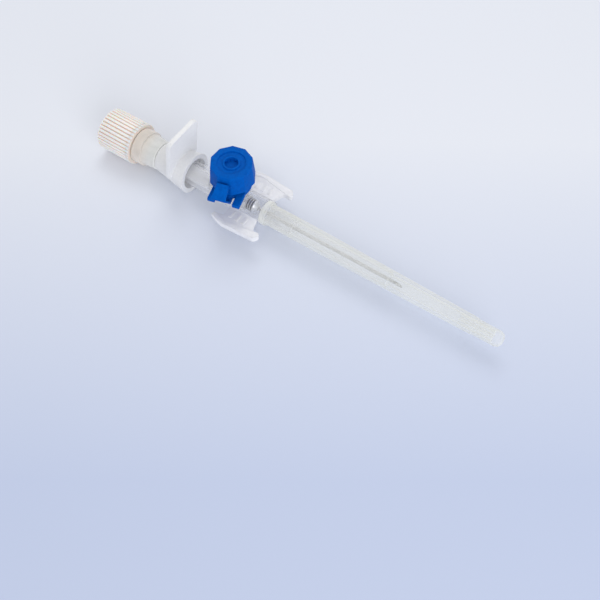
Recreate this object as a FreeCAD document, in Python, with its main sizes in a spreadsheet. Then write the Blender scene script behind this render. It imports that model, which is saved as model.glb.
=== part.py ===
import FreeCAD, Part
import math
import os
import re
import Sketcher

# Peripheral intravenous cannula, 22 gauge, winged and ported, with its needle and cover.
# Millimetres. Each piece is drawn from the port: local X runs along the cannula
# towards the needle's point, local Z up the port, local Y across the wings.

SIZES = {
    # luer lock plug at the rear
    "plug_length": 10.1,
    "plug_rib_rad": 5.3,
    "plug_core_rad": 4.95,
    "plug_rib_count": 36,
    "plug_rib_width": 0.74,
    "plug_lip_length": 0.9,
    "plug_lip_rad": 5.15,
    "plug_rear_chamfer": 0.5,
    "plug_bore_rad": 4.1,
    "plug_floor": 1.6,
    "plug_cone_tip_rad": 1.97,
    "plug_cone_root_rad": 2.17,
    "plug_cone_stand_out": 1.2,
    "plug_gap": 0.2,
    "vent_rad": 0.55,
    "filter_rad": 1.1,
    "filter_length": 2.6,
    # flash chamber
    "chamber_socket_rad": 3.0,
    "chamber_socket_mouth_rad": 2.24,
    "chamber_socket_deep_rad": 2.03,
    "chamber_end_gap": 0.3,
    "chamber_lug_rad": 3.9,
    "chamber_lug_length": 1.6,
    "chamber_lug_width": 2.4,
    "chamber_collar_rad": 4.45,
    "chamber_collar_length": 2.6,
    "chamber_rear_rad": 4.05,
    "chamber_front_rad": 3.65,
    "chamber_body_length": 4.0,
    "chamber_wall": 0.75,
    "chamber_web": 0.8,
    "chamber_spigot_rad": 2.95,
    "chamber_spigot_length": 1.9,
    "joint_groove": 0.25,
    # needle hub with its thumb plate and skirt
    "grip_body_length": 4.75,
    "grip_rear_rad": 3.6,
    "grip_neck_rad": 4.35,
    "grip_socket_depth": 2.2,
    "plate_thick": 1.1,
    "plate_width": 10.6,
    "plate_top": 13.8,
    "plate_lean": 9,
    "plate_foot": 1.0,
    "plate_corner_rad": 1.6,
    "skirt_floor": 0.4,
    "skirt_depth": 3.2,
    "skirt_rear_rad": 4.6,
    "skirt_mouth_rad": 5.15,
    "skirt_bore_rad": 3.98,
    "skirt_flat_drop": 4.75,
    "cone_tip_rad": 1.86,
    "cone_root_rad": 2.12,
    "cone_length": 8.5,
    # needle
    "needle_rad": 0.355,
    "needle_bore_rad": 0.205,
    "needle_tail": 1.1,
    "needle_exposure": 3.4,
    "bevel_length": 2.8,
    # catheter hub
    "hub_rear_reach": 14.6,
    "hub_rad": 3.0,
    "hub_lug_rad": 3.85,
    "hub_lug_length": 1.7,
    "hub_lug_width": 2.4,
    "luer_mouth_rad": 2.19,
    "luer_deep_rad": 1.95,
    "luer_depth": 7.6,
    "seat_gap": 0.5,
    "valve_chamber_reach": 4.0,
    "shoulder_reach": 8.6,
    "shoulder_length": 0.5,
    "nose_rad": 2.36,
    "nose_cone_reach": 14.4,
    "nose_tip_rad": 0.85,
    "nose_reach": 17.6,
    "port_rad": 3.0,
    "port_bore_rad": 2.12,
    "port_height": 9.55,
    # wings
    "wing_thick": 1.1,
    "wing_half_span": 8.8,
    "wing_rear": 1.4,
    "wing_front": 9.2,
    "wing_bar_width": 1.9,
    "wing_bar_thick": 1.5,
    "wing_finger_rear": 0.7,
    "wing_finger_front": 11.8,
    "wing_rake": 0.5,
    "wing_corner_rad": 0.55,
    # valve sleeve, eyelet and catheter
    "press_clearance": 0.02,
    "sleeve_wall": 0.4,
    "sleeve_rear_gap": 0.3,
    "eyelet_rad": 1.55,
    "eyelet_wall": 0.22,
    "eyelet_barrel": 2.1,
    "eyelet_groove": 0.12,
    "eyelet_band": 0.3,
    "eyelet_cone": 0.9,
    "eyelet_throat_rad": 0.44,
    "catheter_rad": 0.45,
    "catheter_bore_rad": 0.385,
    "catheter_length": 25.2,
    "catheter_taper": 1.6,
    "catheter_tip_rad": 0.4,
    # collar on the port
    "collar_gap": 0.05,
    "collar_height": 4.3,
    "collar_thick": 1.0,
    "collar_rad": 4.4,
    "prong_inner": 2.15,
    "prong_outer": 3.9,
    "prong_reach": 6.6,
    "leaf_thick": 0.6,
    "leaf_half_width": 1.35,
    "strap_turn": 15,
    # port cap
    "cap_low": 6.7,
    "cap_tall": 5.2,
    "cap_foot_rad": 5.45,
    "cap_top_rad": 5.0,
    "cap_side_count": 10,
    "cap_bore_rad": 4.15,
    "cap_bore_depth": 3.0,
    "cap_plug_rad": 1.38,
    "cap_plug_length": 0.6,
    "cap_hole_rad": 1.6,
    "cap_hole_depth": 1.15,
    "cap_dish_inner_rad": 2.05,
    "cap_dish_outer_rad": 3.35,
    "cap_dish_depth": 0.35,
    "strap_thick": 0.6,
    "strap_half_width": 1.75,
    "strap_web_drop": 2.0,
    "strap_web_thick": 0.7,
    "strap_lip_reach": 5.6,
    "strap_lip_drop": 1.2,
    "strap_nose_reach": 8.95,
    "strap_nose_drop": 2.9,
    "hinge_reach": 5.9,
    "hinge_height": 4.9,
    "hinge_gap": 0.4,
    # needle cover
    "cover_gap": 0.3,
    "cover_fit": 0.08,
    "cover_length": 62.4,
    "cover_lip_rad": 2.98,
    "cover_lip_length": 1.3,
    "cover_rear_rad": 2.6,
    "cover_taper_from": 14.0,
    "cover_step_at": 55.6,
    "cover_step_rad": 2.04,
    "cover_step_in": 0.16,
    "cover_socket_depth": 8.5,
    "cover_bore_rad": 1.9,
    "cover_bore_step_at": 34.0,
    "cover_bore_tip_rad": 1.35,
    "cover_end_wall": 2.4,
    "cover_dome": 1.25,
}

doc = FreeCAD.newDocument("iv_cannula")
sheet = doc.addObject("Spreadsheet::Sheet", "sizes")
for row, (alias, amount) in enumerate(SIZES.items(), start=1):
    sheet.set(f"A{row}", alias)
    sheet.set(f"B{row}", str(amount))
    sheet.setAlias(f"B{row}", alias)
doc.recompute()


def bind(text):
    """Turn a plain sum of size names into an expression on the sheet."""
    return re.sub(r"[a-z_]+", lambda found: "sizes." + found[0] if found[0] in SIZES else found[0], text)


# Stations along the cannula, from the port's axis
GRIP_FLOOR = "-(hub_rear_reach + seat_gap)"
SKIRT_MOUTH = f"({GRIP_FLOOR} + skirt_depth)"
PLATE_FRONT = f"({GRIP_FLOOR} - skirt_floor)"
PLATE_BACK = f"({PLATE_FRONT} - plate_thick)"
GRIP_REAR = f"({PLATE_BACK} - grip_body_length)"
CHAMBER_FRONT = f"({GRIP_REAR} - joint_groove)"
COLLAR_FRONT = f"({CHAMBER_FRONT} - chamber_body_length)"
COLLAR_BACK = f"({COLLAR_FRONT} - chamber_collar_length)"
PLUG_MOUTH = f"({COLLAR_BACK} - plug_gap)"
PLUG_REAR = f"({PLUG_MOUTH} - plug_length)"
PLUG_FLOOR = f"({PLUG_REAR} + plug_floor)"
SOCKET_REAR = f"({PLUG_FLOOR} + chamber_end_gap)"
COVER_MOUTH = "(shoulder_reach + cover_gap)"
COVER_END = f"({COVER_MOUTH} + cover_length)"
CATHETER_TIP = "(nose_reach + catheter_length)"
NEEDLE_POINT = f"({CATHETER_TIP} + needle_exposure)"
EYELET_REAR = "(valve_chamber_reach + press_clearance)"
EYELET_STEP = f"({EYELET_REAR} + eyelet_barrel)"
EYELET_FRONT = f"({EYELET_STEP} + eyelet_cone)"
FLARE_FRONT = f"({EYELET_FRONT} + eyelet_wall)"
# The port stands so that the part's length is centred on the frame's origin.
PORT_STATION = f"-({PLUG_REAR} + {COVER_END}) / 2"


def new_body(label, turn=None):
    """A body whose own origin is the point where the port's axis meets the cannula's."""
    body = doc.addObject("PartDesign::Body", label)
    body.Label = label
    body.setExpression("Placement.Base.x", bind(PORT_STATION))
    body.setExpression("Placement.Base.z", bind("plug_rib_rad"))
    if turn:
        body.setExpression("Placement.Rotation.Angle", bind(turn) + " * 1deg")
    return body


def origin_feature(body, role):
    return next(item for item in body.Origin.OriginFeatures if item.Role == role)


def new_sketch(body, name, role, level=None):
    sketch = body.newObject("Sketcher::SketchObject", f"{body.Label}_{name}")
    sketch.AttachmentSupport = [(origin_feature(body, role), "")]
    sketch.MapMode = "FlatFace"
    if level:
        sketch.setExpression("AttachmentOffset.Base.z", bind(level))
    return sketch


def outline(body, name, role, corners, level=None):
    """A closed outline of straight edges, each corner tied to the sheet by two expressions."""
    sketch = new_sketch(body, name, role, level)
    count = len(corners)
    angles = [2 * math.pi * index / count for index in range(count)]
    seeds = [FreeCAD.Vector(10 * math.cos(angle), 20 + 10 * math.sin(angle), 0) for angle in angles]
    for index in range(count):
        sketch.addGeometry(Part.LineSegment(seeds[index], seeds[(index + 1) % count]))
    for index in range(count):
        sketch.addConstraint(Sketcher.Constraint("Coincident", index, 2, (index + 1) % count, 1))
    for index, (across, out) in enumerate(corners):
        for kind, seed, amount in (("DistanceX", seeds[index].x, across), ("DistanceY", seeds[index].y, out)):
            if amount == "0":
                axis_line = -2 if kind == "DistanceX" else -1
                sketch.addConstraint(Sketcher.Constraint("PointOnObject", index, 1, axis_line))
                continue
            number = sketch.addConstraint(Sketcher.Constraint(kind, -1, 1, index, 1, seed))
            sketch.setExpression(f"Constraints[{number}]", bind(amount))
    return sketch


def disc(body, name, role, radius, level=None, centre=None):
    """A circle on the plane, round the local axis unless a centre is given."""
    sketch = new_sketch(body, name, role, level)
    seed = FreeCAD.Vector(-5, 5, 0) if centre else FreeCAD.Vector(0, 0, 0)
    sketch.addGeometry(Part.Circle(seed, FreeCAD.Vector(0, 0, 1), 5))
    number = sketch.addConstraint(Sketcher.Constraint("Radius", 0, 5))
    sketch.setExpression(f"Constraints[{number}]", bind(radius))
    if centre is None:
        sketch.addConstraint(Sketcher.Constraint("Coincident", 0, 3, -1, 1))
        return sketch
    for kind, start, amount in zip(("DistanceX", "DistanceY"), (-5, 5), centre):
        number = sketch.addConstraint(Sketcher.Constraint(kind, -1, 1, 0, 3, start))
        sketch.setExpression(f"Constraints[{number}]", bind(amount))
    return sketch


def turn(body, name, corners, cut=False, upright=False):
    """Turn an outline of (along, radius) corners about the cannula, or about the port if upright."""
    if upright:
        corners = [(radius, along) for along, radius in corners]
    sketch = outline(body, name, "XZ_Plane", corners)
    kind = "PartDesign::Groove" if cut else "PartDesign::Revolution"
    feature = body.newObject(kind, f"{body.Label}_{name}_turned")
    feature.Profile = sketch
    feature.ReferenceAxis = (sketch, ["V_Axis" if upright else "H_Axis"])
    feature.Angle = 360
    doc.recompute()
    return feature


def pad(body, name, sketch, length, both_ways=False, back=False):
    feature = body.newObject("PartDesign::Pad", f"{body.Label}_{name}")
    feature.Profile = sketch
    feature.setExpression("Length", bind(length))
    feature.Midplane = both_ways
    feature.Reversed = back
    doc.recompute()
    return feature


def pocket(body, name, sketch, length, both_ways=False, back=False):
    before = body.Shape.Volume
    feature = body.newObject("PartDesign::Pocket", f"{body.Label}_{name}")
    feature.Profile = sketch
    feature.setExpression("Length", bind(length))
    feature.Midplane = both_ways
    feature.Reversed = back
    doc.recompute()
    if feature.Shape.Volume >= before:
        raise RuntimeError(f"{body.Label}: {name} cuts nothing")
    return feature


def mirrored(body, name, features, role):
    feature = body.newObject("PartDesign::Mirrored", f"{body.Label}_{name}")
    feature.Originals = features
    feature.MirrorPlane = (origin_feature(body, role), [""])
    body.Tip = feature
    doc.recompute()
    return feature


def fillet(body, name, radius, wanted):
    """Round the edges of the body's last shape that the given test picks."""
    base = body.Tip
    edges = [f"Edge{number}" for number, edge in enumerate(base.Shape.Edges, start=1) if wanted(edge)]
    feature = body.newObject("PartDesign::Fillet", f"{body.Label}_{name}")
    feature.Base = (base, edges)
    feature.setExpression("Radius", bind(radius))
    doc.recompute()
    return feature


def size(name):
    return float(sheet.get(name))


def runs_along(edge, direction):
    """True for a straight edge parallel to the given axis."""
    if not isinstance(edge.Curve, Part.Line):
        return False
    return abs(abs(edge.Curve.Direction.dot(direction)) - 1) < 1e-6


def two_lugs(body, name, rear, reach, width, inner, length):
    """The two ears of a female luer lock, one on each side of the rear rim."""
    corners = [
        (f"-{width} / 2", inner),
        (f"-{width} / 2", f"{reach} * 0.96"),
        (f"-{width} / 4", reach),
        (f"{width} / 4", reach),
        (f"{width} / 2", f"{reach} * 0.96"),
        (f"{width} / 2", inner),
    ]
    ear = pad(body, f"{name}_lug", outline(body, f"{name}_lug_outline", "YZ_Plane", corners, rear), length)
    return mirrored(body, f"{name}_lugs", [ear], "XY_Plane")


# Luer lock plug: a ribbed, closed shell round a hollow male cone
plug = new_body("vent_plug")
turn(plug, "shell", [
    (PLUG_REAR, "vent_rad"),
    (PLUG_REAR, "plug_core_rad - plug_rear_chamfer"),
    (f"{PLUG_REAR} + plug_rear_chamfer", "plug_core_rad"),
    (f"{PLUG_MOUTH} - plug_lip_length", "plug_core_rad"),
    (f"{PLUG_MOUTH} - plug_lip_length", "plug_lip_rad"),
    (PLUG_MOUTH, "plug_lip_rad"),
    (PLUG_MOUTH, "plug_bore_rad"),
    (PLUG_FLOOR, "plug_bore_rad"),
    (PLUG_FLOOR, "plug_cone_root_rad"),
    (f"{PLUG_MOUTH} + plug_cone_stand_out", "plug_cone_tip_rad"),
    (f"{PLUG_MOUTH} + plug_cone_stand_out", "filter_rad + press_clearance"),
    (PLUG_FLOOR, "filter_rad + press_clearance"),
    (PLUG_FLOOR, "vent_rad"),
])
rib_corners = [
    ("-plug_rib_width / 2", "plug_core_rad - plug_rear_chamfer / 2"),
    ("-plug_rib_width * 0.39", "plug_rib_rad"),
    ("plug_rib_width * 0.39", "plug_rib_rad"),
    ("plug_rib_width / 2", "plug_core_rad - plug_rear_chamfer / 2"),
]
rib_start = f"{PLUG_REAR} + plug_rear_chamfer"
rib_sketch = outline(plug, "rib_outline", "YZ_Plane", rib_corners, rib_start)
rib = pad(plug, "rib", rib_sketch, "plug_length - plug_rear_chamfer - plug_lip_length")
ribs = plug.newObject("PartDesign::PolarPattern", "vent_plug_ribs")
ribs.Originals = [rib]
ribs.Axis = (origin_feature(plug, "X_Axis"), [""])
ribs.Angle = 360
ribs.setExpression("Occurrences", bind("plug_rib_count"))
plug.Tip = ribs
doc.recompute()

# Porous filter that vents air through the plug and holds blood back
vent_filter = new_body("vent_filter")
turn(vent_filter, "core", [
    (f"{PLUG_FLOOR} + press_clearance", "0"),
    (f"{PLUG_FLOOR} + press_clearance", "filter_rad"),
    (f"{PLUG_FLOOR} + press_clearance + filter_length", "filter_rad"),
    (f"{PLUG_FLOOR} + press_clearance + filter_length", "0"),
])

# Flash chamber: female luer at the rear, collar, tapered barrel and a spigot into the grip
chamber = new_body("flash_chamber")
turn(chamber, "barrel", [
    (SOCKET_REAR, "chamber_socket_mouth_rad"),
    (SOCKET_REAR, "chamber_socket_rad"),
    (COLLAR_BACK, "chamber_socket_rad"),
    (COLLAR_BACK, "chamber_collar_rad"),
    (COLLAR_FRONT, "chamber_collar_rad"),
    (COLLAR_FRONT, "chamber_rear_rad"),
    (CHAMBER_FRONT, "chamber_front_rad"),
    (CHAMBER_FRONT, "chamber_spigot_rad"),
    (f"{GRIP_REAR} + chamber_spigot_length", "chamber_spigot_rad"),
    (f"{GRIP_REAR} + chamber_spigot_length", "chamber_spigot_rad - chamber_wall / 2"),
    (f"{COLLAR_FRONT} - chamber_web", "chamber_spigot_rad - chamber_wall / 2"),
    (f"{COLLAR_FRONT} - chamber_web", "vent_rad"),
    (f"{COLLAR_FRONT} - chamber_web * 2", "vent_rad"),
    (f"{COLLAR_FRONT} - chamber_web * 2", "chamber_socket_deep_rad"),
])
two_lugs(chamber, "luer", SOCKET_REAR, "chamber_lug_rad", "chamber_lug_width",
         "(chamber_socket_rad + chamber_socket_mouth_rad) / 2", "chamber_lug_length")

# Needle hub: body, thumb plate leaning forward, flared skirt with a flat underside, and a male
# luer cone inside the skirt
grip = new_body("needle_hub")
turn(grip, "body", [
    (GRIP_REAR, "0"),
    (GRIP_REAR, "grip_rear_rad"),
    (PLATE_BACK, "grip_neck_rad"),
    (PLATE_FRONT, "skirt_rear_rad"),
    (SKIRT_MOUTH, "skirt_mouth_rad"),
    (SKIRT_MOUTH, "0"),
])
plate_corners = [
    ("-plate_width / 2", "plate_top"),
    ("-plate_width / 2", "plate_foot"),
    ("plate_width / 2", "plate_foot"),
    ("plate_width / 2", "plate_top"),
]
plate_sketch = outline(grip, "plate_outline", "YZ_Plane", plate_corners, PLATE_BACK)
plate_sketch.setExpression("AttachmentOffset.Rotation.Angle", bind("plate_lean") + " * 1deg")
plate_sketch.AttachmentOffset.Rotation.Axis = FreeCAD.Vector(1, 0, 0)
pad(grip, "plate", plate_sketch, "plate_thick")
fillet(grip, "plate_corners", "plate_corner_rad",
       lambda edge: isinstance(edge.Curve, Part.Line) and edge.Length < size("plate_thick") * 1.1
       and edge.CenterOfMass.z > size("plate_top") * 0.9)
flat_corners = [
    (f"{GRIP_REAR} + grip_socket_depth", "-skirt_mouth_rad * 2"),
    (f"{GRIP_REAR} + grip_socket_depth", "-skirt_flat_drop"),
    (f"{SKIRT_MOUTH} + seat_gap", "-skirt_flat_drop"),
    (f"{SKIRT_MOUTH} + seat_gap", "-skirt_mouth_rad * 2"),
]
pocket(grip, "underside_flat", outline(grip, "flat_outline", "XZ_Plane", flat_corners),
       "skirt_mouth_rad * 2", both_ways=True)
socket = disc(grip, "socket_outline", "YZ_Plane", "chamber_spigot_rad + press_clearance", GRIP_REAR)
pocket(grip, "socket", socket, "grip_socket_depth", back=True)
skirt_hollow = disc(grip, "skirt_hollow_outline", "YZ_Plane", "skirt_bore_rad", GRIP_FLOOR)
pocket(grip, "skirt_hollow", skirt_hollow, "skirt_depth + seat_gap", back=True)
turn(grip, "cone", [
    (f"{GRIP_FLOOR} - skirt_floor", "0"),
    (f"{GRIP_FLOOR} - skirt_floor", "cone_root_rad"),
    (GRIP_FLOOR, "cone_root_rad"),
    (f"{GRIP_FLOOR} + cone_length", "cone_tip_rad"),
    (f"{GRIP_FLOOR} + cone_length", "0"),
])
needle_hole = disc(grip, "needle_hole_outline", "YZ_Plane", "needle_rad + press_clearance", GRIP_REAR)
pocket(grip, "needle_hole", needle_hole, f"{GRIP_FLOOR} + cone_length - {GRIP_REAR} + seat_gap", back=True)

# Needle: a steel tube ground to a bevel that faces up
needle = new_body("needle")
turn(needle, "tube", [
    (f"{GRIP_REAR} + grip_socket_depth - needle_tail", "needle_bore_rad"),
    (f"{GRIP_REAR} + grip_socket_depth - needle_tail", "needle_rad"),
    (NEEDLE_POINT, "needle_rad"),
    (NEEDLE_POINT, "needle_bore_rad"),
])
bevel_corners = [
    (f"{NEEDLE_POINT} - bevel_length", "needle_rad"),
    (f"{NEEDLE_POINT} - bevel_length", "needle_rad * 2"),
    (f"{NEEDLE_POINT} + needle_rad", "needle_rad * 2"),
    (f"{NEEDLE_POINT} + needle_rad", "-needle_rad - needle_rad * 2 * needle_rad / bevel_length"),
]
pocket(needle, "bevel", outline(needle, "bevel_outline", "XZ_Plane", bevel_corners),
       "needle_rad * 4", both_ways=True)

# Catheter hub: tube, shoulder and nose in one turning, with the port and wings on it
hub = new_body("catheter_hub")
turn(hub, "tube", [
    ("-hub_rear_reach", "0"),
    ("-hub_rear_reach", "hub_rad"),
    ("shoulder_reach - shoulder_length", "hub_rad"),
    ("shoulder_reach", "(hub_rad + nose_rad) / 2"),
    ("shoulder_reach", "nose_rad"),
    ("nose_cone_reach", "nose_rad"),
    ("nose_reach", "nose_tip_rad"),
    ("nose_reach", "0"),
])
pad(hub, "port", disc(hub, "port_outline", "XY_Plane", "port_rad"), "port_height")
wing_outer = "-wing_half_span"
wing_inner = "(-wing_half_span + wing_bar_width)"
wing_corners = [
    ("wing_rear", "0"),
    ("wing_rear", f"{wing_inner} + wing_rake"),
    ("-wing_finger_rear", wing_inner),
    (f"-wing_finger_rear - wing_rake / 2", f"{wing_inner} - wing_bar_width / 2"),
    ("wing_finger_rear + wing_rake", f"{wing_outer} + wing_rake / 2"),
    ("wing_rear + wing_finger_rear * 2", wing_outer),
    ("wing_finger_front - wing_finger_rear", f"{wing_outer} + wing_rake"),
    ("wing_finger_front", f"{wing_outer} + wing_rake + wing_bar_width / 2"),
    ("wing_finger_front", f"{wing_inner} + wing_rake"),
    ("wing_front + wing_finger_rear", f"{wing_inner} + wing_rake"),
    ("wing_front", f"{wing_inner} + wing_rake * 4"),
    ("wing_front - wing_rake * 3", "0"),
]
wing = pad(hub, "wing", outline(hub, "wing_outline", "XY_Plane", wing_corners), "wing_thick", both_ways=True)
bar_corners = [
    ("-wing_finger_rear", wing_inner),
    (f"-wing_finger_rear - wing_rake / 2", f"{wing_inner} - wing_bar_width / 2"),
    ("wing_finger_rear + wing_rake", f"{wing_outer} + wing_rake / 2"),
    ("wing_rear + wing_finger_rear * 2", wing_outer),
    ("wing_finger_front - wing_finger_rear", f"{wing_outer} + wing_rake"),
    ("wing_finger_front", f"{wing_outer} + wing_rake + wing_bar_width / 2"),
    ("wing_finger_front", f"{wing_inner} + wing_rake"),
    ("wing_finger_front - wing_finger_rear", f"{wing_inner} + wing_rake"),
    ("wing_rear + wing_finger_rear * 2", f"{wing_outer} + wing_bar_width / 2"),
]
bar = pad(hub, "wing_bar", outline(hub, "bar_outline", "XY_Plane", bar_corners), "wing_bar_thick", both_ways=True)
mirrored(hub, "far_wing", [wing, bar], "XZ_Plane")
two_lugs(hub, "luer", "-hub_rear_reach", "hub_lug_rad", "hub_lug_width",
         "(hub_rad + luer_mouth_rad) / 2", "hub_lug_length")
fillet(hub, "wing_corners", "wing_corner_rad",
       lambda edge: runs_along(edge, FreeCAD.Vector(0, 0, 1)) and abs(edge.CenterOfMass.y) > size("hub_rad") * 1.5
       and edge.CenterOfMass.x > size("wing_front") - size("wing_rake") / 2)
turn(hub, "bore", [
    ("-hub_rear_reach - seat_gap", "0"),
    ("-hub_rear_reach - seat_gap", "luer_mouth_rad"),
    ("-hub_rear_reach", "luer_mouth_rad"),
    ("-hub_rear_reach + luer_depth", "luer_deep_rad"),
    ("valve_chamber_reach", "luer_deep_rad"),
    ("valve_chamber_reach", "eyelet_rad + press_clearance"),
    (EYELET_STEP, "eyelet_rad + press_clearance"),
    (FLARE_FRONT, "catheter_rad + press_clearance"),
    ("nose_reach + seat_gap", "catheter_rad + press_clearance"),
    ("nose_reach + seat_gap", "0"),
], cut=True)
port_bore = disc(hub, "port_bore_outline", "XY_Plane", "port_bore_rad")
pocket(hub, "port_bore", port_bore, "port_height + seat_gap", back=True)

# Silicone sleeve that closes the port's inner mouth
sleeve = new_body("valve_sleeve")
sleeve_rear = f"({GRIP_FLOOR} + cone_length + sleeve_rear_gap)"
turn(sleeve, "wall", [
    (sleeve_rear, "luer_deep_rad - press_clearance - sleeve_wall"),
    (sleeve_rear, "luer_deep_rad - press_clearance"),
    ("valve_chamber_reach - press_clearance", "luer_deep_rad - press_clearance"),
    ("valve_chamber_reach - press_clearance", "luer_deep_rad - press_clearance - sleeve_wall"),
])

# Metal eyelet that wedges the catheter's flare into the hub, with three grooves rolled round it
flare_slope = "(eyelet_rad - catheter_rad) / (eyelet_cone + eyelet_wall)"
eyelet = new_body("eyelet")
groove_corners = []
for band in (1, 3, 5):
    groove_corners.append((f"{EYELET_REAR} + eyelet_band * {band}", "eyelet_rad"))
    groove_corners.append((f"{EYELET_REAR} + eyelet_band * {band}", "eyelet_rad - eyelet_groove"))
    groove_corners.append((f"{EYELET_REAR} + eyelet_band * {band + 1}", "eyelet_rad - eyelet_groove"))
    groove_corners.append((f"{EYELET_REAR} + eyelet_band * {band + 1}", "eyelet_rad"))
turn(eyelet, "funnel", [
    (EYELET_REAR, "eyelet_rad - eyelet_wall"),
    (EYELET_REAR, "eyelet_rad"),
    *groove_corners,
    (EYELET_STEP, "eyelet_rad"),
    (EYELET_FRONT, f"catheter_rad + {flare_slope} * eyelet_wall"),
    (EYELET_FRONT, "eyelet_throat_rad"),
    (EYELET_STEP, "eyelet_rad - eyelet_wall"),
])

# Catheter: a thin fluoropolymer tube, flared in the hub and drawn down at its tip
catheter = new_body("catheter_tube")
turn(catheter, "tube", [
    (f"{EYELET_FRONT} + press_clearance", "catheter_bore_rad"),
    (f"{EYELET_FRONT} + press_clearance", f"catheter_rad + {flare_slope} * (eyelet_wall - press_clearance)"),
    (FLARE_FRONT, "catheter_rad"),
    (f"{CATHETER_TIP} - catheter_taper", "catheter_rad"),
    (CATHETER_TIP, "catheter_tip_rad"),
    (CATHETER_TIP, "catheter_bore_rad"),
])

# Collar round the port: ring, two prongs and the lower leaf of the strap between them
collar = new_body("port_collar", "strap_turn")
pad(collar, "ring", disc(collar, "ring_outline", "XY_Plane", "collar_rad", "collar_height"), "collar_thick")
prong_corners = [
    ("prong_inner", "0"),
    ("prong_outer", "0"),
    ("prong_outer", "-prong_reach"),
    ("prong_inner", "-prong_reach"),
]
prong_sketch = outline(collar, "prong_outline", "XY_Plane", prong_corners, "collar_height")
prong = pad(collar, "prong", prong_sketch, "collar_thick")
mirrored(collar, "other_prong", [prong], "YZ_Plane")
leaf_corners = [
    ("-leaf_half_width", "-port_rad"),
    ("leaf_half_width", "-port_rad"),
    ("leaf_half_width", "-(hinge_reach - strap_thick / 2)"),
    ("-leaf_half_width", "-(hinge_reach - strap_thick / 2)"),
]
leaf_level = "hinge_height - hinge_gap - leaf_thick"
pad(collar, "leaf", outline(collar, "leaf_outline", "XY_Plane", leaf_corners, leaf_level), "leaf_thick")
stem_hole = disc(collar, "stem_hole_outline", "XY_Plane", "port_rad + collar_gap", "collar_height - leaf_thick")
pocket(collar, "stem_hole", stem_hole, "collar_thick + leaf_thick * 2", back=True)

# Port cap: ten-sided, flared, dished on top, with a stopper inside and the strap that stands off
# its side as a sloping leaf and folds back under it to the hinge
cap = new_body("port_cap", "strap_turn")
foot = new_sketch(cap, "foot", "XY_Plane", "cap_low")
sides = int(size("cap_side_count"))
corner_angles = [math.pi * (2 * index + 1) / sides - math.pi / 2 for index in range(sides)]
foot_corners = [FreeCAD.Vector(5 * math.cos(angle), 5 * math.sin(angle), 0) for angle in corner_angles]
for index in range(sides):
    foot.addGeometry(Part.LineSegment(foot_corners[index], foot_corners[(index + 1) % sides]))
foot.addGeometry(Part.Circle(FreeCAD.Vector(0, 0, 0), FreeCAD.Vector(0, 0, 1), 5), True)
for index in range(sides):
    foot.addConstraint(Sketcher.Constraint("Coincident", index, 2, (index + 1) % sides, 1))
    foot.addConstraint(Sketcher.Constraint("PointOnObject", index, 1, sides))
for index in range(1, sides):
    foot.addConstraint(Sketcher.Constraint("Equal", 0, index))
foot.addConstraint(Sketcher.Constraint("Coincident", sides, 3, -1, 1))
foot.addConstraint(Sketcher.Constraint("Horizontal", sides - 1))
radius_row = foot.addConstraint(Sketcher.Constraint("Radius", sides, 5))
foot.setExpression(f"Constraints[{radius_row}]", bind("cap_foot_rad"))
skirt = pad(cap, "skirt", foot, "cap_tall")
flare_run = bind("(cap_foot_rad - cap_top_rad)") + f" * {math.cos(math.pi / sides):.6f}"
skirt.setExpression("TaperAngle", f"-atan({flare_run} / {bind('cap_tall')})")
doc.recompute()
cap_top = "(cap_low + cap_tall)"
strap_corners = [
    ("-cap_bore_rad", f"{cap_top} - strap_web_drop"),
    ("-(strap_lip_reach + strap_thick * 0.4)", f"{cap_top} - strap_web_drop"),
    ("-(strap_lip_reach - strap_thick * 0.45)", f"{cap_top} - strap_lip_drop - strap_thick * 0.9"),
    ("-strap_lip_reach", f"{cap_top} - strap_lip_drop"),
    ("-strap_nose_reach", f"{cap_top} - strap_nose_drop"),
    ("-strap_nose_reach", f"{cap_top} - strap_nose_drop - strap_thick * 0.65"),
    ("-(hinge_reach + strap_thick / 2)", "hinge_height"),
    ("-(hinge_reach - strap_thick / 2)", "hinge_height"),
    ("-(strap_nose_reach - strap_thick * 0.92)", f"{cap_top} - strap_nose_drop - strap_thick * 0.57"),
    ("-(strap_nose_reach - strap_thick * 2.85)", f"{cap_top} - strap_web_drop - strap_web_thick"),
    ("-cap_bore_rad", f"{cap_top} - strap_web_drop - strap_web_thick"),
]
strap_sketch = outline(cap, "strap_outline", "YZ_Plane", strap_corners)
pad(cap, "strap", strap_sketch, "strap_half_width * 2", both_ways=True)
fold_centre = ("-hinge_reach", "hinge_height")
fold_sketch = disc(cap, "fold_outline", "YZ_Plane", "strap_thick / 2", centre=fold_centre)
pad(cap, "fold", fold_sketch, "strap_half_width * 2", both_ways=True)
taper_corners = [
    ("leaf_half_width", "-(hinge_reach - strap_thick)"),
    ("strap_half_width", "-strap_nose_reach"),
    ("strap_half_width * 2", "-strap_nose_reach"),
    ("strap_half_width * 2", "-(hinge_reach - strap_thick)"),
]
taper_sketch = outline(cap, "taper_outline", "XY_Plane", taper_corners, cap_top)
taper = pocket(cap, "strap_taper", taper_sketch, cap_top)
mirrored(cap, "other_taper", [taper], "YZ_Plane")
turn(cap, "bore", [
    ("cap_low - seat_gap", "0"),
    ("cap_low - seat_gap", "cap_bore_rad"),
    ("cap_low + cap_bore_depth", "cap_bore_rad"),
    ("cap_low + cap_bore_depth", "cap_plug_rad"),
    ("cap_low + cap_bore_depth - cap_plug_length", "cap_plug_rad"),
    ("cap_low + cap_bore_depth - cap_plug_length", "0"),
], cut=True, upright=True)
turn(cap, "hole", [
    ("cap_low + cap_tall + seat_gap", "0"),
    ("cap_low + cap_tall + seat_gap", "cap_hole_rad"),
    ("cap_low + cap_tall - cap_hole_depth", "cap_hole_rad"),
    ("cap_low + cap_tall - cap_hole_depth", "0"),
], cut=True, upright=True)
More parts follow.
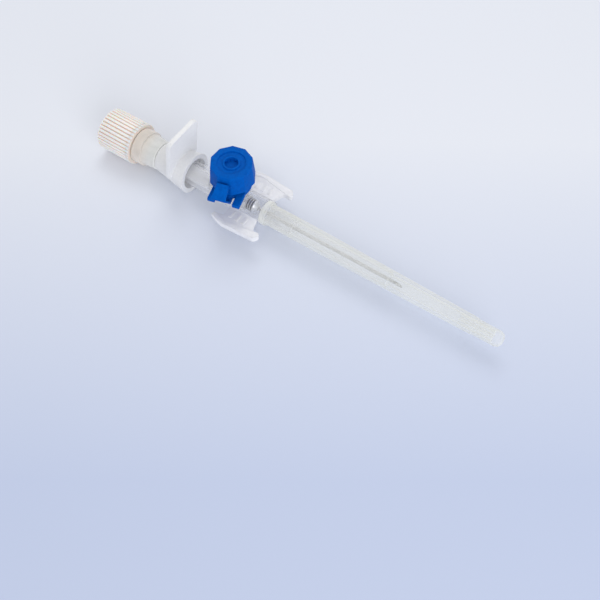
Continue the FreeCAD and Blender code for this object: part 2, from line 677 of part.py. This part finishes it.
turn(cap, "dish", [
    ("cap_low + cap_tall + seat_gap", "cap_dish_inner_rad"),
    ("cap_low + cap_tall + seat_gap", "cap_dish_outer_rad"),
    ("cap_low + cap_tall - cap_dish_depth", "cap_dish_outer_rad"),
    ("cap_low + cap_tall - cap_dish_depth", "cap_dish_inner_rad"),
], cut=True, upright=True)

# Needle cover: a long tapered tube with a lip, a step near its end and a domed tip
cover = new_body("needle_cover")
turn(cover, "tube", [
    (COVER_MOUTH, "nose_rad + cover_fit"),
    (COVER_MOUTH, "cover_lip_rad"),
    (f"{COVER_MOUTH} + cover_lip_length", "cover_lip_rad"),
    (f"{COVER_MOUTH} + cover_lip_length", "cover_rear_rad"),
    (f"{COVER_MOUTH} + cover_taper_from", "cover_rear_rad"),
    (f"{COVER_MOUTH} + cover_step_at", "cover_step_rad"),
    (f"{COVER_MOUTH} + cover_step_at", "cover_step_rad - cover_step_in"),
    (f"{COVER_END} - cover_dome", "cover_step_rad - cover_step_in"),
    (f"{COVER_END} - cover_dome * 0.35", "(cover_step_rad - cover_step_in) * 0.8"),
    (COVER_END, "(cover_step_rad - cover_step_in) * 0.4"),
    (COVER_END, "0"),
    (f"{COVER_END} - cover_end_wall", "0"),
    (f"{COVER_END} - cover_end_wall", "cover_bore_tip_rad"),
    (f"{COVER_MOUTH} + cover_bore_step_at", "cover_bore_tip_rad"),
    (f"{COVER_MOUTH} + cover_bore_step_at", "cover_bore_rad"),
    (f"{COVER_MOUTH} + cover_socket_depth", "cover_bore_rad"),
    (f"{COVER_MOUTH} + cover_socket_depth", "nose_rad + cover_fit"),
])

doc.recompute()
bodies = [item for item in doc.Objects if item.TypeId == "PartDesign::Body"]
for item in doc.Objects:
    if "Invalid" in item.State or "Error" in item.State:
        raise RuntimeError(f"{item.Label}: {item.State}")
for body in bodies:
    if body.Shape.isNull() or not body.Shape.isValid() or len(body.Shape.Solids) != 1:
        raise RuntimeError(f"{body.Label}: the shape is not one valid solid")

os.makedirs("parts", exist_ok=True)
for body in bodies:
    body.Shape.exportStep(f"parts/{body.Label}.step")
    box = body.Shape.BoundBox
    print(f"{body.Label:15s} {body.Shape.Volume:8.2f} mm3  x {box.XMin:7.2f} {box.XMax:7.2f}"
          f"  y {box.YMin:6.2f} {box.YMax:6.2f}  z {box.ZMin:6.2f} {box.ZMax:6.2f}")
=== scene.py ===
import math
import bpy
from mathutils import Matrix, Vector


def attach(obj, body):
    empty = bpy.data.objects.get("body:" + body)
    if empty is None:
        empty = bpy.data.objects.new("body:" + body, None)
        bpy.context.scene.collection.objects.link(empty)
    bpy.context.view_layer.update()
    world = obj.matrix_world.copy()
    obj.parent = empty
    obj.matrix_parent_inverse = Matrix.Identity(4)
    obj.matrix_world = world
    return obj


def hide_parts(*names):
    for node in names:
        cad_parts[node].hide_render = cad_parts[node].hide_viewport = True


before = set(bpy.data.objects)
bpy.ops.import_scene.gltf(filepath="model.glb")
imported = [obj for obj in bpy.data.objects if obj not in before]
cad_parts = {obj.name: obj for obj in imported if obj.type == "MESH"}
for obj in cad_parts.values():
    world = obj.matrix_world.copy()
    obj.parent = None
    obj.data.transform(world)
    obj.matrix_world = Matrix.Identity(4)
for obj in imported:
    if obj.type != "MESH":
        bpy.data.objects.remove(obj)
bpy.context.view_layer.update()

# Catheter hub: clear polycarbonate, moulded in one shot with its wings, its luer lugs and the stem
# of the injection port. Everything else is pushed into it or clipped on it. Its corners are the
# small radii of the mould.
MM = 0.001
PORT_X = -16.4 * MM
AXIS_Z = 5.3 * MM


def clear_selection():
    """Leaves nothing selected, in object mode."""
    bpy.ops.object.select_all(action="DESELECT")


def take_up(piece):
    """Makes a piece the only selected and active object."""
    clear_selection()
    bpy.context.view_layer.objects.active = piece
    piece.select_set(True)


def apply_modifier(piece, kind, **settings):
    """Adds a modifier with these settings and applies it."""
    take_up(piece)
    modifier = piece.modifiers.new("work", kind)
    for field, value in settings.items():
        setattr(modifier, field, value)
    bpy.ops.object.modifier_apply(modifier="work")


def settle(piece):
    """Puts a piece's place into its mesh."""
    take_up(piece)
    bpy.ops.object.transform_apply(location=True, rotation=True, scale=True)


def shade(piece, degrees=40):
    """Smooth shading, with a crease where faces meet at more than this angle."""
    take_up(piece)
    bpy.ops.object.shade_smooth_by_angle(angle=math.radians(degrees))


def rounded_moulding(node, name, radius, segments=2):
    """The moulding as it comes from its tool: the CAD node's shape with its sharp corners rounded."""
    piece = bpy.data.objects.new(name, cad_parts[node].data.copy())
    bpy.context.scene.collection.objects.link(piece)
    take_up(piece)
    bpy.ops.mesh.customdata_custom_splitnormals_clear()
    bpy.ops.object.mode_set(mode="EDIT")
    bpy.ops.mesh.select_all(action="SELECT")
    bpy.ops.mesh.remove_doubles(threshold=0.001 * MM)
    bpy.ops.mesh.dissolve_limited(angle_limit=math.radians(0.5))
    bpy.ops.object.mode_set(mode="OBJECT")
    apply_modifier(piece, "BEVEL", width=radius, segments=segments, limit_method="ANGLE",
                   angle_limit=math.radians(35), use_clamp_overlap=True)
    shade(piece)
    piece.data.materials.clear()
    return piece


def install(piece, material, body, slot, *nodes):
    """Finishes a piece, fixes it to its body and hides the CAD nodes that it stands for."""
    piece.data.materials.append(material)
    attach(piece, body)
    if nodes:
        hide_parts(*nodes)


def new_material(name):
    """An empty node material and its Principled shader."""
    material = bpy.data.materials.new(name)
    material.use_nodes = True
    return material, material.node_tree.nodes["Principled BSDF"]


def grain(material, shader, scale, strength, distance, detail=2.0, stretch=(1, 1, 1)):
    """Fine unevenness of a moulded surface, as a bump on Object coordinates."""
    nodes, links = material.node_tree.nodes, material.node_tree.links
    place = nodes.new("ShaderNodeTexCoord")
    mapping = nodes.new("ShaderNodeMapping")
    mapping.inputs["Scale"].default_value = stretch
    noise = nodes.new("ShaderNodeTexNoise")
    noise.inputs["Scale"].default_value = scale
    noise.inputs["Detail"].default_value = detail
    bump = nodes.new("ShaderNodeBump")
    bump.inputs["Strength"].default_value = strength
    bump.inputs["Distance"].default_value = distance
    links.new(place.outputs["Object"], mapping.inputs["Vector"])
    links.new(mapping.outputs["Vector"], noise.inputs["Vector"])
    links.new(noise.outputs["Fac"], bump.inputs["Height"])
    links.new(bump.outputs["Normal"], shader.inputs["Normal"])
    return noise


def vary(material, driver, socket, low, high, start=0.35, end=0.65):
    """Moves a colour or a number of the shader between two values."""
    nodes, links = material.node_tree.nodes, material.node_tree.links
    ramp = nodes.new("ShaderNodeValToRGB")
    ramp.color_ramp.elements[0].position = start
    ramp.color_ramp.elements[1].position = end
    ramp.color_ramp.elements[0].color = (*low, 1)
    ramp.color_ramp.elements[1].color = (*high, 1)
    links.new(driver, ramp.inputs["Fac"])
    links.new(ramp.outputs["Color"], socket)


def clear_plastic(name, low, high, face, rim, roughness, grain_scale=900, strength=0.1, stretch=(1, 1, 1)):
    """See-through plastic: face is how solid a wall looks straight on, and rim how solid at its edge."""
    material, shader = new_material(name)
    nodes, links = material.node_tree.nodes, material.node_tree.links
    shader.inputs["IOR"].default_value = 1.45
    shader.inputs["Roughness"].default_value = roughness
    noise = grain(material, shader, grain_scale, strength, 0.03 * MM, stretch=stretch)
    vary(material, noise.outputs["Fac"], shader.inputs["Base Color"], low, high)
    wall = nodes.new("ShaderNodeLayerWeight")
    wall.inputs["Blend"].default_value = 0.35
    vary(material, wall.outputs["Facing"], shader.inputs["Alpha"], (face,) * 3, (rim,) * 3, 0.1, 1.0)
    return material


def object_axis(material, axis):
    """The place along one axis of the object."""
    nodes, links = material.node_tree.nodes, material.node_tree.links
    place = nodes.new("ShaderNodeTexCoord")
    split = nodes.new("ShaderNodeSeparateXYZ")
    links.new(place.outputs["Object"], split.inputs["Vector"])
    return split.outputs[axis]


def arithmetic(material, operation, *terms):
    """One step of node arithmetic on sockets and numbers."""
    step = material.node_tree.nodes.new("ShaderNodeMath")
    step.operation = operation
    for term, entry in zip(terms, step.inputs):
        if isinstance(term, bpy.types.NodeSocket):
            material.node_tree.links.new(term, entry)
        else:
            entry.default_value = term
    return step.outputs["Value"]


def rise(material, driver, start, end, top=1.0, clamp=True):
    """A number that goes from 0 to top while the driver goes from start to end."""
    scaled = material.node_tree.nodes.new("ShaderNodeMapRange")
    scaled.clamp = clamp
    scaled.inputs["From Min"].default_value = start
    scaled.inputs["From Max"].default_value = end
    scaled.inputs["To Max"].default_value = top
    material.node_tree.links.new(driver, scaled.inputs["Value"])
    return scaled.outputs["Result"]


def add_haze(material, axis, start, end, amount, both_sides=False):
    """Makes a see-through plastic whiter from start to end along an axis."""
    solid = material.node_tree.nodes["Principled BSDF"].inputs["Alpha"]
    wall = solid.links[0].from_socket
    along = object_axis(material, axis)
    if both_sides:
        along = arithmetic(material, "ABSOLUTE", along)
    total = arithmetic(material, "ADD", wall, rise(material, along, start, end, amount))
    total.node.use_clamp = True
    material.node_tree.links.new(total, solid)


hub_clear = clear_plastic("hub_clear", (0.93, 0.93, 0.96), (0.98, 0.98, 1.0), 0.12, 0.7, 0.06)
# The wings are textured on both faces, so they look whiter than the polished tube.
TUBE_SIDE = 3.05 * MM
WING_ROOT = 3.5 * MM
add_haze(hub_clear, "Y", TUBE_SIDE, WING_ROOT, 0.62, both_sides=True)
hub = rounded_moulding("catheter_hub", "hub_moulding", 0.12 * MM)
install(hub, hub_clear, "hub_unit", "hub_clear", "catheter_hub")

# Wing ridges: three low bars across the top of each wing, in the same shot as the hub, so that
# gloved fingers do not slip when the wings are pinched.
WING_TOP = AXIS_Z + 0.55 * MM
WING_MIDDLE = 5.2 * MM
for side in (-1, 1):
    for number, along in enumerate((3.1, 4.9, 6.7), start=1):
        clear_selection()
        bpy.ops.mesh.primitive_cube_add(size=1, location=(PORT_X + along * MM, side * WING_MIDDLE, WING_TOP))
        ridge = bpy.context.object
        ridge.scale = (0.8 * MM, 2.1 * MM, 0.2 * MM)
        settle(ridge)
        apply_modifier(ridge, "BEVEL", width=0.09 * MM, segments=3)
        shade(ridge)
        ridge.name = f"wing_ridge_{'near' if side < 0 else 'far'}_{number}"
        install(ridge, hub_clear, "hub_unit", "hub_clear")

# Valve sleeve: a ring of translucent silicone that stretches over the port's inner mouth. It is
# pushed into the hub's bore from the rear.
silicone = clear_plastic("sleeve_silicone", (0.88, 0.89, 0.89), (0.95, 0.95, 0.95), 0.2, 0.6, 0.3, 600, 0.2)
sleeve = rounded_moulding("valve_sleeve", "sleeve_ring", 0.08 * MM)
install(sleeve, silicone, "hub_unit", "sleeve_silicone", "valve_sleeve")

# Eyelet: a pressed steel funnel that wedges the flared end of the catheter into the hub. It is
# bright steel, with painted shade for the three grooves rolled round it: its colour goes near black in bands.
EYELET_REAR = PORT_X + 4.02 * MM
GROOVE_PITCH = 0.6 * MM
BANDED_LENGTH = 1.95 * MM
eyelet_steel, eyelet_shader = new_material("eyelet_steel")
eyelet_shader.inputs["Metallic"].default_value = 0.85
eyelet_noise = grain(eyelet_steel, eyelet_shader, 2500, 0.3, 0.01 * MM, stretch=(6, 1, 1))
vary(eyelet_steel, eyelet_noise.outputs["Fac"], eyelet_shader.inputs["Roughness"], (0.3,) * 3, (0.45,) * 3)
eyelet_along = object_axis(eyelet_steel, "X")
eyelet_pitches = rise(eyelet_steel, eyelet_along, EYELET_REAR, EYELET_REAR + GROOVE_PITCH, clamp=False)
eyelet_turns = arithmetic(eyelet_steel, "MULTIPLY", eyelet_pitches, 2 * math.pi)
# Painted shade: a sine wave along the barrel turns the base colour near black in bands where the grooves hold
# shadow.
eyelet_groove_shade_wave = arithmetic(eyelet_steel, "SINE", eyelet_turns)
eyelet_cone = arithmetic(eyelet_steel, "GREATER_THAN", eyelet_along, EYELET_REAR + BANDED_LENGTH)
eyelet_unshaded_mask = arithmetic(eyelet_steel, "MAXIMUM", eyelet_groove_shade_wave, eyelet_cone)
vary(eyelet_steel, eyelet_unshaded_mask, eyelet_shader.inputs["Base Color"],
     (0.01, 0.012, 0.018), (0.80, 0.81, 0.84), 0.3, 0.8)
eyelet = rounded_moulding("eyelet", "eyelet_pressing", 0.03 * MM)
install(eyelet, eyelet_steel, "hub_unit", "eyelet_metal", "eyelet")

# Catheter tube: extruded fluoropolymer with fine contrast stripes along it. It is flared inside
# the hub and drawn down to a soft edge at its tip.
STRIPE_COUNT = 4
tube_plastic = clear_plastic("tube_plastic", (0.90, 0.92, 0.92), (0.96, 0.97, 0.97), 0.25, 0.6, 0.2)
tube_nodes, tube_links = tube_plastic.node_tree.nodes, tube_plastic.node_tree.links
tube_place = tube_nodes.new("ShaderNodeTexCoord")
tube_turn = tube_nodes.new("ShaderNodeMapping")
tube_turn.inputs["Location"].default_value = (0, 0, -AXIS_Z)
tube_split = tube_nodes.new("ShaderNodeSeparateXYZ")
tube_links.new(tube_place.outputs["Object"], tube_turn.inputs["Vector"])
tube_links.new(tube_turn.outputs["Vector"], tube_split.inputs["Vector"])
tube_angle = arithmetic(tube_plastic, "ARCTAN2", tube_split.outputs["Y"], tube_split.outputs["Z"])
tube_wave = arithmetic(tube_plastic, "COSINE", arithmetic(tube_plastic, "MULTIPLY", tube_angle, STRIPE_COUNT))
vary(tube_plastic, tube_wave, tube_nodes["Principled BSDF"].inputs["Base Color"],
     (0.97, 0.97, 0.97), (0.55, 0.58, 0.62), 0.9, 0.96)
catheter = rounded_moulding("catheter_tube", "catheter_extrusion", 0.02 * MM)
install(catheter, tube_plastic, "hub_unit", "catheter_white", "catheter_tube")

# Port collar and cap: polypropylene coloured the blue of this gauge, moulded as one piece with a
# folded strap. The collar is snapped round the stem, and the cap is pushed on its top.
port_blue, blue_shader = new_material("port_blue")
blue_shader.inputs["Specular IOR Level"].default_value = 0.03
blue_noise = grain(port_blue, blue_shader, 1400, 0.12, 0.03 * MM, detail=3)
vary(port_blue, blue_noise.outputs["Fac"], blue_shader.inputs["Base Color"],
     (0.0, 0.092, 0.45), (0.0, 0.112, 0.52))
vary(port_blue, blue_noise.outputs["Fac"], blue_shader.inputs["Roughness"], (0.42,) * 3, (0.52,) * 3)
collar = rounded_moulding("port_collar", "collar_moulding", 0.1 * MM)
install(collar, port_blue, "hub_unit", "port_blue", "port_collar")
cap = rounded_moulding("port_cap", "cap_moulding", 0.16 * MM, 3)
install(cap, port_blue, "cap_unit", "port_blue", "port_cap")

# Cap splines: eight low ribs down the wall of the cap's central hole, left by the core pin that
# lets the moulding be pushed out.
HOLE_RADIUS = 1.6 * MM
CAP_TOP = AXIS_Z + 11.9 * MM
for number in range(8):
    bearing = 2 * math.pi * number / 8
    clear_selection()
    bpy.ops.mesh.primitive_cylinder_add(vertices=12, radius=0.16 * MM, depth=1.05 * MM)
    spline = bpy.context.object
    across, aside = HOLE_RADIUS * math.cos(bearing), HOLE_RADIUS * math.sin(bearing)
    spline.location = (PORT_X + across, aside, CAP_TOP - 0.72 * MM)
    settle(spline)
    apply_modifier(spline, "BEVEL", width=0.05 * MM, segments=2, limit_method="ANGLE")
    shade(spline)
    spline.name = f"cap_spline_{number + 1}"
    install(spline, port_blue, "cap_unit", "port_blue")

# Needle hub: frosted polypropylene with a thumb plate that leans forward and a flared skirt. Its
# male cone sits in the catheter hub's luer.
grip_frosted = clear_plastic("grip_frosted", (0.95, 0.95, 0.955), (0.985, 0.985, 0.985), 0.78, 0.95, 0.3,
                             1600, 0.15)
grip = rounded_moulding("needle_hub", "grip_moulding", 0.16 * MM, 3)
install(grip, grip_frosted, "needle_unit", "grip_frosted", "needle_hub")

# Thumb ridges: five low bars across the rear of the leaning plate, moulded with it, where the
# thumb pushes.
PLATE_LEAN = math.radians(9)
PLATE_FOOT = PORT_X - 16.6 * MM
for number in range(5):
    height = (6.6 + 1.35 * number) * MM
    clear_selection()
    bpy.ops.mesh.primitive_cube_add(size=1)
    ridge = bpy.context.object
    ridge.scale = (0.5 * MM, 7.4 * MM, 0.6 * MM)
    ridge.rotation_euler = (0, PLATE_LEAN, 0)
    forward, upward = height * math.sin(PLATE_LEAN), height * math.cos(PLATE_LEAN)
    ridge.location = (PLATE_FOOT + forward, 0, AXIS_Z + upward)
    settle(ridge)
    apply_modifier(ridge, "BEVEL", width=0.2 * MM, segments=3)
    shade(ridge)
    ridge.name = f"plate_ridge_{number + 1}"
    install(ridge, grip_frosted, "needle_unit", "grip_frosted")

# Flash chamber: clear styrenic, welded on the needle hub. Blood shows in it when a vein is met.
# Its collar has a painted warm reflection of the plug beside it, mixed into its colour.
chamber_clear = clear_plastic("chamber_clear", (0.92, 0.93, 0.90), (0.97, 0.975, 0.95), 0.62, 0.9, 0.14)
chamber_nodes, chamber_links = chamber_clear.node_tree.nodes, chamber_clear.node_tree.links
chamber_colour = chamber_nodes["Principled BSDF"].inputs["Base Color"]
chamber_plain = chamber_colour.links[0].from_socket
# Painted reflection: the chamber's colour turns warm cream towards the plug.
PLUG_REFLECTION_START = PORT_X - 23.5 * MM
PLUG_REFLECTION_FULL = PORT_X - 26.0 * MM
chamber_plug_reflection = rise(chamber_clear, object_axis(chamber_clear, "X"), PLUG_REFLECTION_START, PLUG_REFLECTION_FULL)
chamber_reflection_mix = chamber_nodes.new("ShaderNodeMix")
chamber_reflection_mix.data_type = "RGBA"
chamber_reflection_mix.inputs["B"].default_value = (0.98, 0.91, 0.83, 1)
chamber_links.new(chamber_plug_reflection, chamber_reflection_mix.inputs["Factor"])
chamber_links.new(chamber_plain, chamber_reflection_mix.inputs["A"])
chamber_links.new(chamber_reflection_mix.outputs["Result"], chamber_colour)
GRIP_REAR = PORT_X - 21.35 * MM
add_haze(chamber_clear, "X", GRIP_REAR - 0.6 * MM, GRIP_REAR, 0.4)
chamber = rounded_moulding("flash_chamber", "chamber_moulding", 0.1 * MM)
install(chamber, chamber_clear, "needle_unit", "chamber_clear", "flash_chamber")

# Needle: drawn stainless tube, ground to a bevelled point and bonded into the needle hub.
needle_steel, steel_shader = new_material("needle_steel")
steel_shader.inputs["Metallic"].default_value = 1
steel_noise = grain(needle_steel, steel_shader, 3000, 0.2, 0.005 * MM, stretch=(0.1, 3, 3))
vary(needle_steel, steel_noise.outputs["Fac"], steel_shader.inputs["Base Color"],
     (0.50, 0.51, 0.53), (0.66, 0.67, 0.69))
vary(needle_steel, steel_noise.outputs["Fac"], steel_shader.inputs["Roughness"], (0.2,) * 3, (0.32,) * 3)
needle = rounded_moulding("needle", "needle_tube", 0.008 * MM, 1)
install(needle, needle_steel, "needle_unit", "needle_steel", "needle")

# Luer lock plug: cream-white, with fine ribs for the fingers and painted shade in the grooves between them.
# It is turned on the flash chamber's lugs and seals its rear.
PLUG_MOUTH = PORT_X - 28.4 * MM
RIBBED_LENGTH = 9.6 * MM
GROOVE_RADIUS = 5.16 * MM
CREST_RADIUS = 5.25 * MM
plug_cream, plug_shader = new_material("plug_cream")
plug_shader.inputs["Subsurface Weight"].default_value = 0.5
plug_shader.inputs["Subsurface Radius"].default_value = (1.6, 1.0, 0.7)
plug_shader.inputs["Subsurface Scale"].default_value = 0.8 * MM
plug_noise = grain(plug_cream, plug_shader, 1200, 0.15, 0.03 * MM, detail=3)
plug_nodes, plug_links = plug_cream.node_tree.nodes, plug_cream.node_tree.links
plug_place = plug_nodes.new("ShaderNodeTexCoord")
plug_turn = plug_nodes.new("ShaderNodeMapping")
plug_turn.inputs["Location"].default_value = (0, 0, -AXIS_Z)
plug_turn.inputs["Scale"].default_value = (0, 1, 1)
plug_reach = plug_nodes.new("ShaderNodeVectorMath")
plug_reach.operation = "LENGTH"
plug_links.new(plug_place.outputs["Object"], plug_turn.inputs["Vector"])
plug_links.new(plug_turn.outputs["Vector"], plug_reach.inputs[0])
# Painted shade: the colour goes pinkish brown towards the groove bottoms between the ribs and stays cream on
# the crests and the rear face.
plug_groove_shade_ramp = rise(plug_cream, plug_reach.outputs["Value"], GROOVE_RADIUS, CREST_RADIUS)
plug_end = arithmetic(plug_cream, "LESS_THAN", object_axis(plug_cream, "X"), PLUG_MOUTH - RIBBED_LENGTH)
plug_unshaded_mask = arithmetic(plug_cream, "MAXIMUM", plug_end, plug_groove_shade_ramp)
vary(plug_cream, plug_unshaded_mask, plug_shader.inputs["Base Color"],
     (0.88, 0.74, 0.65), (0.99, 0.94, 0.89), 0, 1)
vary(plug_cream, plug_noise.outputs["Fac"], plug_shader.inputs["Roughness"], (0.38,) * 3, (0.5,) * 3)
plug = rounded_moulding("vent_plug", "plug_moulding", 0.07 * MM)
install(plug, plug_cream, "plug_unit", "plug_white", "vent_plug")

# Rib ends: the plug's 36 ribs carry on over its lip, in the same shot, up to the mouth.
LIP_LENGTH = 0.9 * MM
RIB_COUNT = 36
RIB_RADIUS = 5.3 * MM
rib_ends = []
for number in range(RIB_COUNT):
    bearing = 2 * math.pi * number / RIB_COUNT
    clear_selection()
    bpy.ops.mesh.primitive_cube_add(size=1)
    rib_end = bpy.context.object
    rib_end.scale = (LIP_LENGTH, 0.6 * MM, 0.3 * MM)
    rib_end.rotation_euler = (bearing, 0, 0)
    reach = RIB_RADIUS - 0.15 * MM
    across, upward = -reach * math.sin(bearing), reach * math.cos(bearing)
    rib_end.location = (PLUG_MOUTH - 0.55 * LIP_LENGTH, across, AXIS_Z + upward)
    settle(rib_end)
    rib_ends.append(rib_end)
take_up(rib_ends[0])
for rib_end in rib_ends:
    rib_end.select_set(True)
bpy.ops.object.join()
lip_ribs = bpy.context.object
apply_modifier(lip_ribs, "BEVEL", width=0.07 * MM, segments=2)
shade(lip_ribs)
lip_ribs.name = "plug_rib_ends"
install(lip_ribs, plug_cream, "plug_unit", "plug_white")

# Vent filter: a sintered porous plug that lets air out of the chamber and holds blood back.
filter_white, filter_shader = new_material("filter_white")
filter_shader.inputs["Roughness"].default_value = 0.85
filter_noise = grain(filter_white, filter_shader, 4000, 0.6, 0.06 * MM, detail=6)
vary(filter_white, filter_noise.outputs["Fac"], filter_shader.inputs["Base Color"],
     (0.72, 0.72, 0.69), (0.92, 0.92, 0.89))
filter_plug = rounded_moulding("vent_filter", "filter_core", 0.05 * MM)
install(filter_plug, filter_white, "plug_unit", "filter_white", "vent_filter")

# Needle cover: translucent polypropylene, injection moulded over a long core pin, so it tapers to
# its closed tip. It is pushed on the hub's nose.
cover_milky = clear_plastic("cover_milky", (0.94, 0.945, 0.89), (0.965, 0.97, 0.92), 0.17, 0.9, 0.28,
                            700, 0.02, (0.05, 1, 1))
COVER_MOUTH = PORT_X + 8.9 * MM
FIN_MIDDLE = PORT_X + 64.9 * MM
FIN_REACH = 1.08 * MM
add_haze(cover_milky, "X", COVER_MOUTH + 1.3 * MM, COVER_MOUTH + 0.9 * MM, 0.22)
cover = rounded_moulding("needle_cover", "cover_moulding", 0.12 * MM, 3)
install(cover, cover_milky, "cover_unit", "cover_translucent", "needle_cover")

# Tip fins: four thin fins inside the cover's closed end, moulded with it, that stiffen the tip.
for number in range(4):
    bearing = math.radians(45 + 90 * number)
    clear_selection()
    bpy.ops.mesh.primitive_cube_add(size=1)
    fin = bpy.context.object
    fin.scale = (8.4 * MM, 0.2 * MM, 0.75 * MM)
    fin.rotation_euler = (bearing, 0, 0)
    across, upward = -FIN_REACH * math.sin(bearing), FIN_REACH * math.cos(bearing)
    fin.location = (FIN_MIDDLE, across, AXIS_Z + upward)
    settle(fin)
    apply_modifier(fin, "BEVEL", width=0.06 * MM, segments=2)
    shade(fin)
    fin.name = f"tip_fin_{number + 1}"
    install(fin, cover_milky, "cover_unit", "cover_translucent")

# Floor: a plain glossy sheet with painted light falloff in its colour: pale behind the object, darker and
# bluer towards the viewer.
VIEW_TURN = math.radians(33.9)
clear_selection()
bpy.ops.mesh.primitive_plane_add(size=4, location=(0, 0, 0))
floor = bpy.context.object
floor.name = "floor"
floor_sheet, floor_shader = new_material("floor_sheet")
floor_nodes, floor_links = floor_sheet.node_tree.nodes, floor_sheet.node_tree.links
floor_place = floor_nodes.new("ShaderNodeTexCoord")
floor_turn = floor_nodes.new("ShaderNodeMapping")
floor_turn.inputs["Rotation"].default_value = (0, 0, -VIEW_TURN)
floor_split = floor_nodes.new("ShaderNodeSeparateXYZ")
floor_falloff_ramp = floor_nodes.new("ShaderNodeMapRange")
floor_falloff_ramp.inputs["From Min"].default_value = -0.06
floor_falloff_ramp.inputs["From Max"].default_value = 0.03
floor_links.new(floor_place.outputs["Object"], floor_turn.inputs["Vector"])
floor_links.new(floor_turn.outputs["Vector"], floor_split.inputs["Vector"])
floor_links.new(floor_split.outputs["Y"], floor_falloff_ramp.inputs["Value"])
# Painted light falloff: the base colour darkens and turns bluer towards the viewer.
vary(floor_sheet, floor_falloff_ramp.outputs["Result"], floor_shader.inputs["Base Color"],
     (0.578, 0.645, 0.831), (0.84, 0.864, 0.93), 0, 1)
floor_shader.inputs["Roughness"].default_value = 0.4
floor_shader.inputs["Specular IOR Level"].default_value = 0.12
floor.data.materials.append(floor_sheet)

# Studio light: an even pale room with a soft box above and behind and another beside the viewer,
# so that a colour renders about as it is written.
scene = bpy.context.scene
scene.view_settings.view_transform = "Standard"
scene.cycles.transparent_max_bounces = 40
room = bpy.data.worlds.new("room")
room.use_nodes = True
room.node_tree.nodes["Background"].inputs["Color"].default_value = (0.97, 0.98, 1.0, 1)
room.node_tree.nodes["Background"].inputs["Strength"].default_value = 0.66
scene.world = room


def soft_box(name, place, aim, width, watts):
    """A square area lamp that faces a point."""
    lamp = bpy.data.lights.new(name, "AREA")
    lamp.size = width
    lamp.energy = watts
    stand = bpy.data.objects.new(name, lamp)
    scene.collection.objects.link(stand)
    stand.location = place
    stand.rotation_euler = (Vector(aim) - Vector(place)).to_track_quat("-Z", "Y").to_euler()
    return stand


soft_box("key_box", (-0.15, 0.25, 0.45), (0, 0, 0), 0.3, 0.55)
soft_box("fill_box", (0.44, -0.30, 0.26), (0, 0, 0), 0.4, 1.4)

# Camera: above and to the near right of the object, as in the photograph.
FOCAL_PX = 900
AIM = Vector((PORT_X + 29.22 * MM, -15.61 * MM, AXIS_Z))
STAND = Vector((PORT_X + 87.17 * MM, -101.86 * MM, AXIS_Z + 169.5 * MM))
lens = bpy.data.cameras.new("camera")
lens.sensor_width = 36
lens.lens = 36 * FOCAL_PX / 600
lens.clip_start = 0.01
lens.clip_end = 20
camera = bpy.data.objects.new("camera", lens)
scene.collection.objects.link(camera)
camera.location = STAND
camera.rotation_euler = (AIM - STAND).to_track_quat("-Z", "Y").to_euler()
scene.camera = camera
